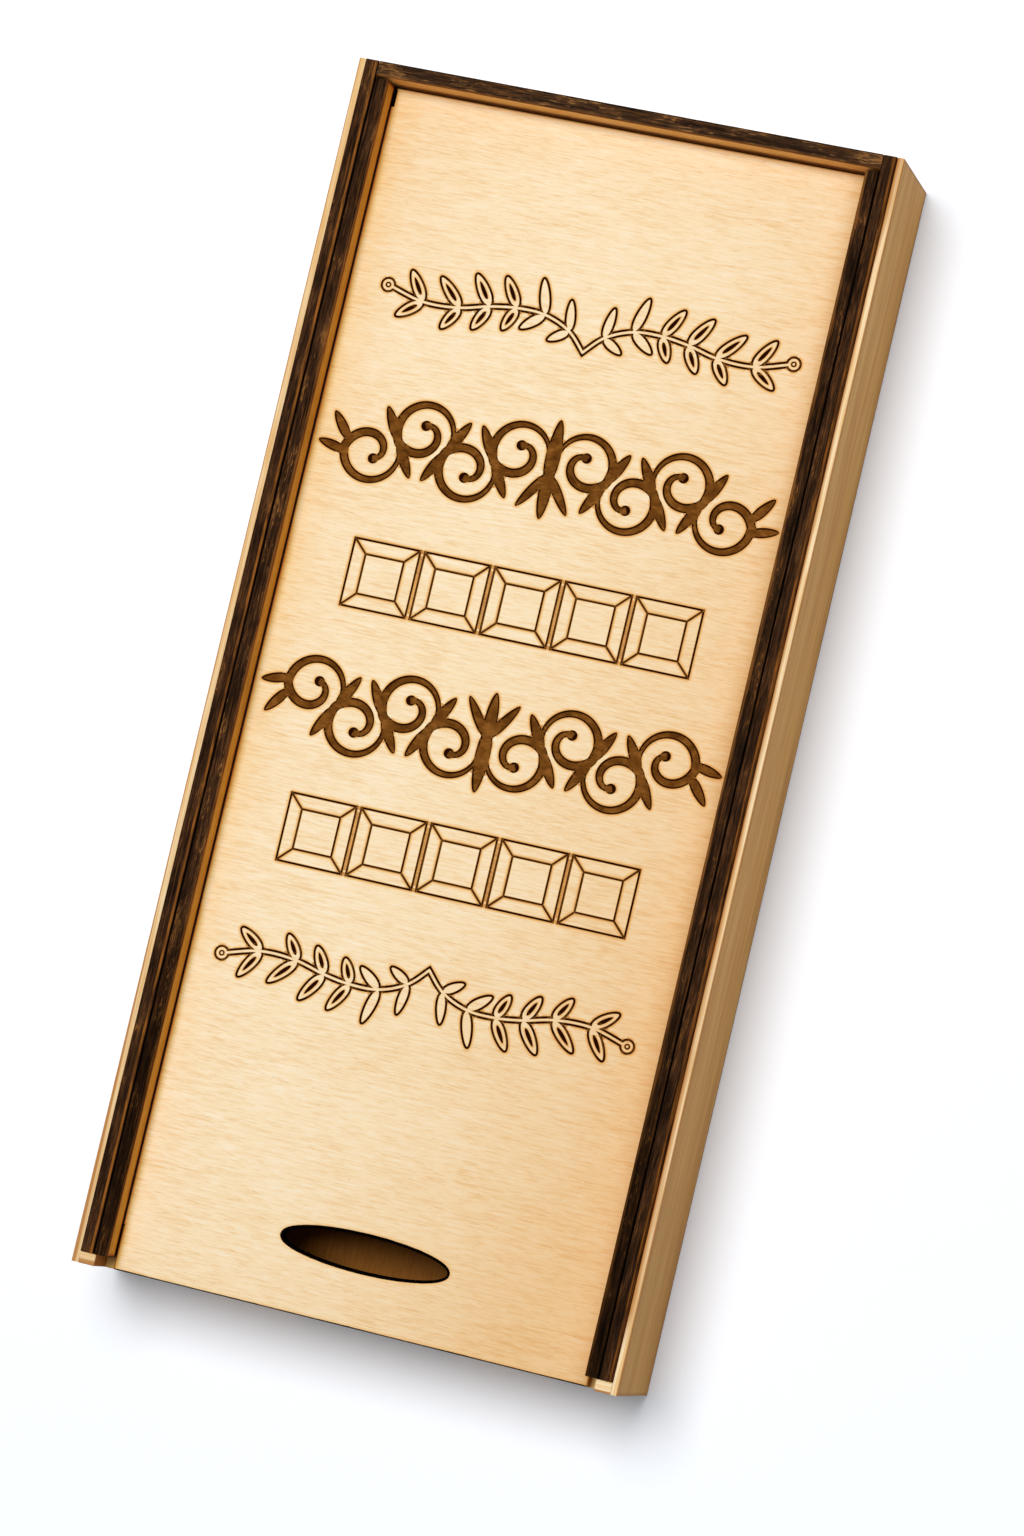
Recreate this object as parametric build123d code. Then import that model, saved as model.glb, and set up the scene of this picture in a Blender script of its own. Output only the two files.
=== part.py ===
"""Flat wooden box with a sliding lid, cut from thin boards and glued up.

Millimetres, +Z up, +Y towards the back, origin at the middle of the underside.
The lid slides forwards, along -Y, out of two grooves.
"""

from build123d import *
import os

# Box, outside sizes
box_width = 120.0
box_length = 262.0
box_height = 32.0

# Board thicknesses
base_thickness = 3.0
side_wall_thickness = 3.0
back_wall_thickness = 3.2
front_wall_thickness = 2.5
outer_panel_thickness = 1.5
guide_thickness = 3.0
lid_thickness = 3.0

# Lid in its groove
lid_recess = 6.0
lid_seat_clearance = 0.15
lid_top_clearance = 0.5
lid_side_clearance = 1.0
lid_front_setback = 0.1
lid_back_gap = 0.8

# Fits and cuts
joint_clearance = 0.1
cut_overrun = 1.0

# Planes that the pieces share
half_width = box_width / 2
half_length = box_length / 2
panel_inner_x = half_width - outer_panel_thickness
wall_inner_x = panel_inner_x - side_wall_thickness
guide_inner_x = wall_inner_x - guide_thickness
front_inner_y = front_wall_thickness - half_length
back_inner_y = half_length - back_wall_thickness
lid_top_z = box_height - lid_recess
lid_bottom_z = lid_top_z - lid_thickness
runner_top_z = lid_bottom_z - lid_seat_clearance
rail_bottom_z = lid_top_z + lid_top_clearance


def block(low, high):
    """A board or a cut between two opposite corners."""
    sizes = [top - bottom for bottom, top in zip(low, high)]
    return Pos(*low) * Box(*sizes, align=Align.MIN)


def on_both_sides(right_piece):
    """A right-hand piece and its mirror image on the left."""
    return [right_piece, mirror(right_piece, about=Plane.YZ)]


def spans(centres, length):
    """The start and end of equal stretches about the given centres."""
    return [(centre - length / 2, centre + length / 2) for centre in centres]


# Tabs that stand in the notched edges of the base
side_tab_length = 30.0
side_tab_place_shares = (-0.32, 0.0, 0.32)
end_tab_length = 22.0
end_tab_place_shares = (-0.24, 0.24)
side_tab_spans = spans([share * box_length for share in side_tab_place_shares], side_tab_length)
end_tab_spans = spans([share * box_width for share in end_tab_place_shares], end_tab_length)

# Fingers that lock the upright corners, midway between the floor and the lid
corner_finger_height = 9.0
corner_finger_centre_z = (base_thickness + runner_top_z) / 2
corner_finger_low_z, corner_finger_high_z = spans([corner_finger_centre_z], corner_finger_height)[0]


def corner_notch(y_low, y_high):
    """Room for a corner finger at the right end of a board, over a stretch in Y."""
    return block(
        (wall_inner_x - joint_clearance, y_low, corner_finger_low_z - joint_clearance),
        (panel_inner_x + cut_overrun, y_high, corner_finger_high_z + joint_clearance),
    )


def corner_finger(y_low, y_high):
    """The finger that fills a corner notch on the right."""
    return block(
        (wall_inner_x, y_low, corner_finger_low_z),
        (panel_inner_x, y_high, corner_finger_high_z),
    )


def end_tabs(y_low, y_high):
    """Tabs under the front or the back wall."""
    return [block((start, y_low, 0), (end, y_high, base_thickness)) for start, end in end_tab_spans]


def end_tab_notches(y_low, y_high):
    """Notches for those tabs, cut through the base."""
    return [
        block(
            (start - joint_clearance, y_low, -cut_overrun),
            (end + joint_clearance, y_high, base_thickness + cut_overrun),
        )
        for start, end in end_tab_spans
    ]


def make_base_panel():
    """The floor, between the outer panels and under every wall."""
    board = block(
        (-panel_inner_x, -half_length, 0),
        (panel_inner_x, half_length, base_thickness),
    )
    for start, end in side_tab_spans:
        notch = block(
            (wall_inner_x - joint_clearance, start - joint_clearance, -cut_overrun),
            (panel_inner_x + cut_overrun, end + joint_clearance, base_thickness + cut_overrun),
        )
        board -= on_both_sides(notch)
    board -= end_tab_notches(-half_length - cut_overrun, front_inner_y + joint_clearance)
    board -= end_tab_notches(back_inner_y - joint_clearance, half_length + cut_overrun)
    return board


def make_side_wall():
    """The right side wall: tabs below, a finger in front and a notch for the back wall's finger."""
    board = block(
        (wall_inner_x, front_inner_y, base_thickness),
        (panel_inner_x, half_length, box_height),
    )
    for start, end in side_tab_spans:
        board += block((wall_inner_x, start, 0), (panel_inner_x, end, base_thickness))
    board += corner_finger(-half_length, front_inner_y)
    board -= corner_notch(back_inner_y - joint_clearance, half_length + cut_overrun)
    return board


def make_back_wall():
    """The back wall, between the side walls, with a finger at each end."""
    board = block(
        (-wall_inner_x, back_inner_y, base_thickness),
        (wall_inner_x, half_length, box_height),
    )
    board += end_tabs(back_inner_y, half_length)
    board += on_both_sides(corner_finger(back_inner_y, half_length))
    return board


# The uncharred edges stand a little below the rim
pale_edge_drop = 0.4
pale_edge_z = box_height - pale_edge_drop

# The front wall's ears reach in a little past the side walls
ear_overlap = 0.5
ear_inner_x = wall_inner_x - ear_overlap


def make_front_wall():
    """The front wall, lowered in the middle for the lid, with an ear before each side wall."""
    board = block(
        (-panel_inner_x, -half_length, base_thickness),
        (panel_inner_x, front_inner_y, pale_edge_z),
    )
    board += end_tabs(-half_length, front_inner_y)
    board -= block(
        (-ear_inner_x, -half_length - cut_overrun, runner_top_z),
        (ear_inner_x, front_inner_y + cut_overrun, pale_edge_z + cut_overrun),
    )
    board -= on_both_sides(corner_notch(-half_length - cut_overrun, front_inner_y + cut_overrun))
    return board


def make_outer_panel():
    """The thin right outer panel that covers the side wall and its joints."""
    return block((panel_inner_x, -half_length, 0), (half_width, half_length, pale_edge_z))


# The guides stop short of the back wall
guide_back_gap = 0.5
guide_back_y = back_inner_y - guide_back_gap


def make_upper_rail():
    """The strip over the lid's right edge."""
    return block(
        (guide_inner_x, front_inner_y, rail_bottom_z),
        (wall_inner_x, guide_back_y, box_height),
    )


def make_lower_runner():
    """The strip that carries the lid's right edge."""
    return block(
        (guide_inner_x, front_inner_y, base_thickness),
        (wall_inner_x, guide_back_y, runner_top_z),
    )


# Lid outline: a tongue at each end between notched corners, the front one close between the rails
lid_front_notch_length = 9.5
lid_back_notch_length = 3.8
lid_front_tongue_clearance = 0.15
lid_back_tongue_clearance = 0.5
lid_half_width = wall_inner_x - lid_side_clearance
lid_front_tongue_half_width = guide_inner_x - lid_front_tongue_clearance
lid_back_tongue_half_width = guide_inner_x - lid_back_tongue_clearance
lid_front_y = lid_front_setback - half_length
lid_back_y = back_inner_y - lid_back_gap
lid_stop_y = lid_back_y - lid_back_notch_length

# Block that closes the groove at the back, where the lid's shoulder stops
stop_clearance = 0.1


def make_stop_block():
    """The block between the right rail and runner."""
    return block(
        (guide_inner_x, lid_stop_y + stop_clearance, runner_top_z),
        (wall_inner_x, guide_back_y, rail_bottom_z),
    )


# Finger slot across the front of the lid
finger_slot_length = 36.0
finger_slot_width = 7.2
finger_slot_setback = 15.6


def make_lid():
    """The lid, shut against the stop blocks."""
    board = block(
        (-lid_half_width, lid_front_y, lid_bottom_z),
        (lid_half_width, lid_back_y, lid_top_z),
    )
    for start, end, tongue_half_width in (
        (lid_stop_y, lid_back_y + cut_overrun, lid_back_tongue_half_width),
        (lid_front_y - cut_overrun, lid_front_y + lid_front_notch_length, lid_front_tongue_half_width),
    ):
        notch = block(
            (tongue_half_width, start, lid_bottom_z - cut_overrun),
            (lid_half_width + cut_overrun, end, lid_top_z + cut_overrun),
        )
        board -= on_both_sides(notch)
    slot = extrude(Ellipse(finger_slot_length / 2, finger_slot_width / 2), lid_thickness + 2 * cut_overrun)
    board -= Pos(0, lid_front_y + finger_slot_setback, lid_bottom_z - cut_overrun) * slot
    return board


pieces = {
    "base_panel": make_base_panel(),
    "back_wall": make_back_wall(),
    "front_wall": make_front_wall(),
    "lid": make_lid(),
}
paired_pieces = {
    "side_wall": make_side_wall(),
    "outer_panel": make_outer_panel(),
    "upper_rail": make_upper_rail(),
    "lower_runner": make_lower_runner(),
    "stop_block": make_stop_block(),
}
for name, right_piece in paired_pieces.items():
    for side, piece in zip(("right", "left"), on_both_sides(right_piece)):
        pieces[f"{side}_{name}"] = piece

os.makedirs("parts", exist_ok=True)
for name, piece in pieces.items():
    export_step(piece, f"parts/{name}.step")
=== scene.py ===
# %% [markdown]
# # A flat wooden box with a sliding lid
# The box is cut from thin boards by laser and glued up, so every piece is a plate: an outline in a
# plane, a thickness and a cut edge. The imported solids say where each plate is. This lesson rebuilds
# each plate as a finer surface, with worn arrises, plies, scorching and an engraved lid.

import bmesh
import bpy
import numpy as np
from mathutils import Matrix, Vector, geometry


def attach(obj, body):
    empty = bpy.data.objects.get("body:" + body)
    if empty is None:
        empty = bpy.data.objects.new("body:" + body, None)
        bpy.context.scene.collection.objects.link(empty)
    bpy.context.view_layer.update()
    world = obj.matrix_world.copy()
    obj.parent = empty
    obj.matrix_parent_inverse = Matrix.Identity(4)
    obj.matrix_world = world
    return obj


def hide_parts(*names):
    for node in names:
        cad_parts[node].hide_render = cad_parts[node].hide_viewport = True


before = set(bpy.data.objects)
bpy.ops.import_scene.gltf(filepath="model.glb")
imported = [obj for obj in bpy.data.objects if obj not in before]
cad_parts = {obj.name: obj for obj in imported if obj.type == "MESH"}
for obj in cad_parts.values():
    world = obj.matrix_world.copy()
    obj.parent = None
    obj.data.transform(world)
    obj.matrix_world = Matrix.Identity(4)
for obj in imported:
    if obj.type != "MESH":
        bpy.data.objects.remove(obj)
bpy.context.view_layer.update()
MM = 0.001
print("boards in the frame:", len(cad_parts))

# %% [markdown]
# ## The camera
# The picture looks down on the box from its right-hand side through a long lens. A camera could be
# aimed with a constraint, but three directions say it plainly: where it stands, the point that it looks
# at, and which way on the box is up in the picture. The rotation matrix has those directions as columns.

# %% Camera
camera_place = Vector((263.4, -77.5, 1065.5)) * MM
camera_aim = Vector((8.2, -10.1, 31.6)) * MM
picture_up = Vector((-0.208, 0.971, 0.115))
lens_mm = 120.3

away = (camera_place - camera_aim).normalized()
across = picture_up.cross(away).normalized()
upright = away.cross(across)
camera = bpy.data.objects.new("camera", bpy.data.cameras.new("camera"))
camera.data.lens = lens_mm
turn = Matrix((across, upright, away)).transposed().to_4x4()
camera.matrix_world = Matrix.Translation(camera_place) @ turn
bpy.context.scene.collection.objects.link(camera)
bpy.context.scene.camera = camera
print("camera stands", round((camera_place - camera_aim).length, 3), "m from the lid")

# %% [markdown]
# ## Colours and nodes
# Colours are written as the hex values that a screen shows. Shaders add light up, so they need linear
# numbers, and one function does that change. A second one adds a shader node with its settings and links:
# a socket given as an input is linked, and anything else is set as a value.


# %% Colour and node helpers
def linear(hex_colour):
    """Linear RGBA of an sRGB hex colour: c / 12.92 when dark, else ((c + 0.055) / 1.055) to the 2.4."""
    srgb = np.array([int(hex_colour[i : i + 2], 16) for i in (1, 3, 5)]) / 255
    rgb = np.where(srgb <= 0.04045, srgb / 12.92, ((srgb + 0.055) / 1.055) ** 2.4)
    return (*rgb, 1.0)


def add(tree, kind, inputs=None, stops=(), **settings):
    """Adds a node to a tree; stops are (place, hex colour) pairs of a colour ramp."""
    made = tree.nodes.new("ShaderNode" + kind)
    for name, value in settings.items():
        setattr(made, name, value)
    for name, value in (inputs or {}).items():
        if isinstance(value, bpy.types.NodeSocket):
            tree.links.new(value, made.inputs[name])
        else:
            made.inputs[name].default_value = value
    if stops:
        elements = made.color_ramp.elements
        elements.remove(elements[1])
        elements[0].position = stops[0][0]
        for place, _ in stops[1:]:
            elements.new(place)
        for stop, (_, colour) in zip(elements, stops):
            stop.color = linear(colour)
    return made


def new_material(name):
    """An empty node material, its shader and its tree."""
    material = bpy.data.materials.new(name)
    material.use_nodes = True
    tree = material.node_tree
    tree.nodes.clear()
    shader = add(tree, "BsdfPrincipled")
    add(tree, "OutputMaterial", {"Surface": shader.outputs[0]})
    return material, shader, tree


print("middle grey in linear light:", round(linear("#808080")[0], 3))

# %% [markdown]
# ## Floor and light
# A white sheet lies under the box. A large soft lamp hangs high over the back of the box and gives the
# narrow soft shadow to the right and in front. The rest is an even sky. The lamp is white and the sky is a
# little cool, so the shadow stays grey beside the tan wood. The sheet and the sky are brighter where a ray
# shows them, from the camera, in a gloss or through glass. So the background is white without more light on
# the wood.


# %% Floor, lamp and sky
def showing(tree):
    """1 for a ray that shows the background: from the camera, in a gloss or through glass."""
    rays = add(tree, "LightPath").outputs
    seen = {0: rays["Is Camera Ray"], 1: rays["Is Glossy Ray"]}
    seen = {0: add(tree, "Math", seen, operation="ADD").outputs[0], 1: rays["Is Transmission Ray"]}
    return add(tree, "Math", seen, operation="ADD", use_clamp=True).outputs[0]


floor_half = 4.0
floor_drop = 0.0002
floor_glow = 0.11
lamp_place = Vector((-0.2, 0.5, 2.1))
lamp_aim = Vector((0.0, 0.0, 0.03))
lamp_size = 1.3
lamp_power = 42.0
sky_strength = 0.232
sky_tint = "#e0efff"

floor_mesh = bpy.data.meshes.new("floor")
corners = floor_half * np.array([(-1, -1), (1, -1), (1, 1), (-1, 1)])
floor_mesh.from_pydata(np.c_[corners, np.full(4, -floor_drop)], [], [(0, 1, 2, 3)])
floor = bpy.data.objects.new("floor", floor_mesh)
bpy.context.scene.collection.objects.link(floor)

paper, paper_shader, tree = new_material("white_paper")
paper_shader.inputs["Base Color"].default_value = linear("#f6f8fc")
paper_shader.inputs["Roughness"].default_value = 0.9
paper_shader.inputs["Specular IOR Level"].default_value = 0.1
glow = add(tree, "Math", {0: showing(tree), 1: floor_glow}, operation="MULTIPLY")
tree.links.new(glow.outputs[0], paper_shader.inputs["Emission Strength"])
paper_shader.inputs["Emission Color"].default_value = linear("#ffffff")
floor_mesh.materials.append(paper)

lamp = bpy.data.lights.new("overhead_lamp", "AREA")
lamp.shape = "DISK"
lamp.size = lamp_size
lamp.energy = lamp_power
turn = (lamp_place - lamp_aim).to_track_quat("Z", "Y").to_matrix().to_4x4()
holder = bpy.data.objects.new("overhead_lamp", lamp)
holder.matrix_world = Matrix.Translation(lamp_place) @ turn
bpy.context.scene.collection.objects.link(holder)
print("lamp stands", round((lamp_place - lamp_aim).length, 2), "m away")

sky = bpy.data.worlds.new("even_sky")
sky.use_nodes = True
tree = sky.node_tree
tree.nodes.clear()
shown = showing(tree)
level = add(tree, "MapRange", {"Value": shown, "To Min": sky_strength, "To Max": 1.0})
tint = add(tree, "Mix", {0: shown, 6: linear(sky_tint), 7: linear("#ffffff")}, data_type="RGBA")
even = add(tree, "Background", {"Color": tint.outputs[2], "Strength": level.outputs[0]})
add(tree, "OutputWorld", {"Surface": even.outputs[0]})
bpy.context.scene.world = sky
bpy.context.scene.view_settings.view_transform = "Standard"

# %% [markdown]
# ## Wood finishes
# All the patterns are noise drawn out along the grain. Each board carries a map called grain, in metres:
# on a face, along and across the fibres; on a cut edge, along the edge and through the thickness from the
# side nearer the middle of the box. So one finish fits boards that lie any way round. An image could hold
# the wood, but noise has no seams and no limit of size. Stains then go over the wood one by one, each
# where a mask says.


# %% Grain, stains and finishing
def streaks(tree, along_mm, across_mm, detail=3.0, distortion=0.0, shift=0.0):
    """Noise whose cells measure along_mm by across_mm on the board."""
    grain = add(tree, "UVMap", uv_map="grain")
    cells = (1 / (along_mm * MM), 1 / (across_mm * MM), 1.0)
    scaled = add(tree, "Mapping", {"Vector": grain.outputs[0], "Location": (shift,) * 3, "Scale": cells})
    noise = {"Vector": scaled.outputs[0], "Scale": 1.0, "Detail": detail, "Distortion": distortion}
    return add(tree, "TexNoise", noise).outputs["Fac"]


def weighted(tree, parts):
    """The sum of values times weights, as a chain of multiply-and-add nodes."""
    total = 0.0
    for value, weight in parts:
        total = add(tree, "Math", {0: value, 1: weight, 2: total}, operation="MULTIPLY_ADD").outputs[0]
    return total


def on_the_box(tree):
    """Where a point lies on the box: X, Y and Z in metres."""
    return add(tree, "SeparateXYZ", {0: add(tree, "TexCoord").outputs["Object"]}).outputs


def through_the_board(tree):
    """How deep a point of a cut edge lies through the board, in millimetres."""
    depth = add(tree, "SeparateXYZ", {0: add(tree, "UVMap", uv_map="grain").outputs[0]}).outputs[1]
    return add(tree, "Math", {0: depth, 1: 1 / MM}, operation="MULTIPLY").outputs[0]


def stained(tree, wood, colour, where, blend="MIX"):
    """A colour laid over the wood, or multiplied into it. Where is a mask, or a value with the two places
    between which the stain grows and, if it isn't 1, its strength at the second."""
    if isinstance(where, tuple):
        value, start, end, most = (*where, 1.0)[:4]
        growth = {"Value": value, "From Min": start, "From Max": end, "To Max": most}
        where = add(tree, "MapRange", growth).outputs[0]
    stain = linear(colour) if isinstance(colour, str) else colour
    return add(tree, "Mix", {0: where, 6: wood, 7: stain}, data_type="RGBA", blend_type=blend).outputs[2]


def finished(tree, shader, wood, relief, strength, depth_mm, roughness, specular):
    """Gives a shader its colour, a fine relief, its roughness and its gloss."""
    bump = add(tree, "Bump", {"Strength": strength, "Distance": depth_mm * MM, "Height": relief})
    tree.links.new(wood, shader.inputs["Base Color"])
    tree.links.new(bump.outputs[0], shader.inputs["Normal"])
    shader.inputs["Roughness"].default_value = roughness
    shader.inputs["Specular IOR Level"].default_value = specular


def colour_so_far(material):
    """The tree and the shader of a finished material, and the socket that colours it."""
    tree = material.node_tree
    shader = next(node for node in tree.nodes if node.type == "BSDF_PRINCIPLED")
    return tree, shader, shader.inputs["Base Color"].links[0].from_socket


print("wood is made of streaks along the grain, then stains, then a relief")

# %% [markdown]
# Birch veneer is peeled from the log and sanded. Its grain is close and pale, with soft clouds, short
# fibres and small dark pores. The laser toasts the wood beside each cut. Toasting takes away blue light
# first and then green, so its tones are multiplied into the wood: cream, then orange, then brown at the
# cut itself.

# %% Birch veneer
pore_brown = "#9a6530"
toast_places = (0.0, 0.35, 0.7, 1.0)
lid_toasts = ("#fdf2dd", "#edc588", "#8a4a18")
light_toasts = ("#fcf5e8", "#f2dfc2", "#d9b684")
deep_toasts = ("#f4e3cb", "#c79a66", "#6d4520")


def birch_veneer(name, light, middle, dark, toasts):
    """Sanded birch: soft clouds, close short fibres and pores, toasted where the scorch attribute says."""
    material, shader, tree = new_material(name)
    clouds = streaks(tree, 34, 16, detail=3, distortion=0.8, shift=11.3)
    bands = streaks(tree, 12, 2.2, detail=3, distortion=0.6)
    fibres = streaks(tree, 6.5, 0.5, detail=3, distortion=0.8, shift=3.1)
    fine = streaks(tree, 2.8, 0.24, detail=2, distortion=0.5, shift=7.7)
    tone = weighted(tree, [(clouds, 0.14), (bands, 0.12), (fibres, 0.38), (fine, 0.36)])
    wood = add(tree, "ValToRGB", {0: tone}, stops=[(0.36, dark), (0.5, middle), (0.64, light)]).outputs[0]
    ticks = streaks(tree, 1.5, 0.16, detail=1, shift=19.0)
    wood = stained(tree, wood, pore_brown, (ticks, 0.71, 0.8, 0.5))
    burnt = add(tree, "Attribute", attribute_name="scorch").outputs["Fac"]
    uneven = weighted(tree, [(0.55, 1.0), (fibres, 0.45), (clouds, 0.45)])
    smoke = add(tree, "Math", {0: burnt, 1: uneven}, operation="MULTIPLY").outputs[0]
    stops = list(zip(toast_places, ("#ffffff", *toasts)))
    wood = stained(tree, wood, add(tree, "ValToRGB", {0: smoke}, stops=stops).outputs[0], 1.0, "MULTIPLY")
    relief = weighted(tree, [(fibres, 0.6), (fine, 0.4)])
    finished(tree, shader, wood, relief, 0.2, 0.05, roughness=0.62, specular=0.12)
    return material


lid_birch = birch_veneer("lid_birch_veneer", "#fdecce", "#fbe1b7", "#f0ca95", lid_toasts)
smoked_birch = birch_veneer("smoked_birch_veneer", "#e8a93e", "#d89328", "#bd7a17", deep_toasts)
# Painted light: the back wall's veneer is lighter than the other walls', for front light that the lamp
# behind the box doesn't give its inner face.
back_birch_with_painted_light = birch_veneer("back_birch_veneer_painted_light", "#ffd086", "#fbbd69", "#e8a34a", light_toasts)
# Painted shade: the base is darker than birch, for the shade inside the closed box seen through the finger
# slot.
base_birch_with_painted_shade = birch_veneer("base_birch_veneer_painted_shade", "#a36820", "#985e19", "#8a5213", deep_toasts)
sooty_birch = birch_veneer("sooty_birch_veneer", "#2a180b", "#1d1007", "#120a04", deep_toasts)
print("veneers:", lid_birch.name, smoked_birch.name, back_birch_with_painted_light.name, base_birch_with_painted_shade.name, sooty_birch.name)

# %% [markdown]
# The lid is tanner towards its ends, and darker towards its front right corner, which is painted shade
# where the lamp's light falls off. Its long sides are toasted too, the left one more, and the right one's
# toast is partly painted shade beside the rail. A black line where they run under the rails is a painted
# shadow of the gap there. These tones lie on the lid as a whole, not along its grain, so they follow its
# place on the box.

# %% Toast on the lid
# Tan of the lid: toast at its ends, and painted shade towards its front right corner.
lid_tan_and_painted_shade = "#f1ddc3"
side_toasts_and_shade = (
    (-43.5, -50.0, 1.0, "#fbf7ea", 0.1),
    (-50.0, -52.4, 2.0, "#ffec34", 1.0),
    (-50.0, -52.4, 5.0, "#e0593c", 1.0),
    # Partly painted shade beside the right rail, partly toast.
    (45.0, 52.0, 2.6, "#d8c8a6", 0.6),
)
side_waver_mm = 4.0
front_fade = (-0.1, -0.02)
# Painted shadow: a black line on the lid where it runs under the rails, for the shade in the gap there.
rail_gap_shadow = "#0b0603"
rail_gap_shadow_mm = (52.22, 52.36)


def toast_and_painted_shade_on_lid(material):
    """Multiplies tan into the lid by 0.2 + x (6.6 + 112 x - 44.5 y) - 0.86 y - 5 y squared + 0.75 (6 y) to
    the fourth: painted shade towards the front right corner, and tan towards the ends. Each toast of the
    long sides is (start, end, power, colour, strength at the front); the one on the right is partly painted
    shade beside the rail. Then a black line of painted shadow goes where the lid runs under the rails."""
    tree, shader, wood = colour_so_far(material)
    x, y, _ = on_the_box(tree)
    along_x = weighted(tree, [(6.6, 1.0), (x, 112.0), (y, -44.5)])
    along_y = weighted(tree, [(-0.86, 1.0), (y, -5.0)])
    ends = weighted(tree, [(add(tree, "Math", {0: y}, operation="ABSOLUTE").outputs[0], 6.0)])
    ends = add(tree, "Math", {0: ends, 1: 4.0}, operation="POWER").outputs[0]
    # Painted shade: the lid darkens towards its front right corner; the ends term is tan.
    tan_and_painted_shade = weighted(tree, [(0.2, 1.0), (y, along_y), (x, along_x), (ends, 0.75)])
    wood = stained(tree, wood, lid_tan_and_painted_shade, tan_and_painted_shade, "MULTIPLY")
    ragged = streaks(tree, 9, 14, detail=2, shift=31.0)
    for start_mm, end_mm, power, colour, at_front in side_toasts_and_shade:
        start = weighted(tree, [(ragged, side_waver_mm * MM), ((start_mm - side_waver_mm / 2) * MM, 1.0)])
        near = add(tree, "MapRange", {"Value": x, "From Min": start, "From Max": end_mm * MM}).outputs[0]
        near = add(tree, "Math", {0: near, 1: power}, operation="POWER").outputs[0]
        fade = {"Value": y, "From Min": front_fade[0], "From Max": front_fade[1], "To Min": at_front}
        fade = add(tree, "MapRange", fade).outputs[0]
        near = add(tree, "Math", {0: near, 1: fade}, operation="MULTIPLY").outputs[0]
        wood = stained(tree, wood, colour, near, "MULTIPLY")
    side = add(tree, "Math", {0: x}, operation="ABSOLUTE").outputs[0]
    # Paints the shadow line where the lid runs under the rails.
    wood = stained(tree, wood, rail_gap_shadow, (side, *(edge * MM for edge in rail_gap_shadow_mm)))
    tree.links.new(wood, shader.inputs["Base Color"])


toast_and_painted_shade_on_lid(lid_birch)
print("toasts on the lid's long sides:", len(side_toasts_and_shade))

# %% [markdown]
# A laser-cut edge of plywood is charred dark brown. Grey-brown streaks and small tan flecks run along it.
# Rust-brown scorch gathers towards both arrises, broken rust or brown bands run along some arrises, and the
# seams between boards are painted black, as painted shade in the grooves between them and beside the lower
# pale panels. The depth through the board says where each lies, because the edge map counts from the side
# nearer the middle of the box.

# %% Charred edge
# Black for soot, and for painted shade in the seams between boards.
char_and_shade_black = "#040201"
rust_brown = "#8a5220"
front_grey = "#8c8a80"
front_stretch = (-0.03, -0.08)
tone_places = (0.36, 0.46, 0.54, 0.62, 0.72)
scorch_reach_mm = (1.1, 0.2)
band_blur_mm = 0.08


def charred_edge(name, tones, rust, bands, flecks, board_mm, front):
    """Charred plywood edge: rust is the strength of the scorch at the inner and the outer arris, bands are
    (from, to, colour) through the board, broken unless black, flecks are (share, length, width, colour),
    and front is how far the edge blackens towards the front of the box."""
    material, shader, tree = new_material(name)
    long_streaks = streaks(tree, 12, 0.5, detail=4, distortion=0.6, shift=1.7)
    fine = streaks(tree, 2.4, 0.2, detail=3, distortion=0.4, shift=5.2)
    patches = streaks(tree, 9, 2.4, detail=3, distortion=0.5, shift=9.4)
    tone = weighted(tree, [(long_streaks, 0.4), (fine, 0.3), (patches, 0.3)])
    stops = list(zip(tone_places, tones))
    char = add(tree, "ValToRGB", {0: tone}, stops=stops).outputs[0]
    share, long_mm, wide_mm, tan = flecks
    dashes = streaks(tree, long_mm, wide_mm, detail=2, shift=15.0)
    sparse = add(tree, "Math", {0: dashes, 1: patches}, operation="ADD").outputs[0]
    char = stained(tree, char, tan, (sparse, 1.3 - 0.4 * share, 1.42 - 0.4 * share, 0.75))
    depth = through_the_board(tree)
    far, close = scorch_reach_mm
    inner = add(tree, "MapRange", {"Value": depth, "From Min": far, "From Max": close}).outputs[0]
    outer = {"Value": depth, "From Min": board_mm - far, "From Max": board_mm - close}
    outer = add(tree, "MapRange", outer).outputs[0]
    cloudy = streaks(tree, 11, 0.5, detail=6, distortion=0.9, shift=21.0)
    rusty = weighted(tree, [(cloudy, 1.0), (inner, 0.3 * rust[0]), (outer, 0.3 * rust[1])])
    char = stained(tree, char, rust_brown, (rusty, 0.6, 0.86, 0.9))
    wisps = streaks(tree, 8, 1.2, detail=4, distortion=0.5, shift=25.0)
    broken = {"Value": wisps, "From Min": 0.36, "From Max": 0.62, "To Min": 0.1, "To Max": 0.95}
    broken = add(tree, "MapRange", broken).outputs[0]
    for start, end, colour in bands:
        rise = {"Value": depth, "From Min": start - band_blur_mm, "From Max": start + band_blur_mm}
        rise["To Max"] = 1.0 if colour == char_and_shade_black else broken
        rise = add(tree, "MapRange", rise).outputs[0]
        char = stained(tree, char, colour, (depth, end + band_blur_mm, end - band_blur_mm, rise))
    char = stained(tree, char, front_grey, (on_the_box(tree)[1], *front_stretch, front), "MULTIPLY")
    relief = weighted(tree, [(long_streaks, 0.6), (fine, 0.4)])
    finished(tree, shader, char, relief, 0.6, 0.1, roughness=0.85, specular=0.01)
    return material


print("rust fades out", scorch_reach_mm[0], "mm from an arris")

# %% [markdown]
# No two edges on the rim were burnt alike, so each has its own tones, bands and flecks. The lid's edge and
# the stop blocks in its grooves are sooty all over. On the lid, the back edge is painted tan, as painted
# light in the dark gap behind the lid, and the sides of the front tongue are browned.

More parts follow.
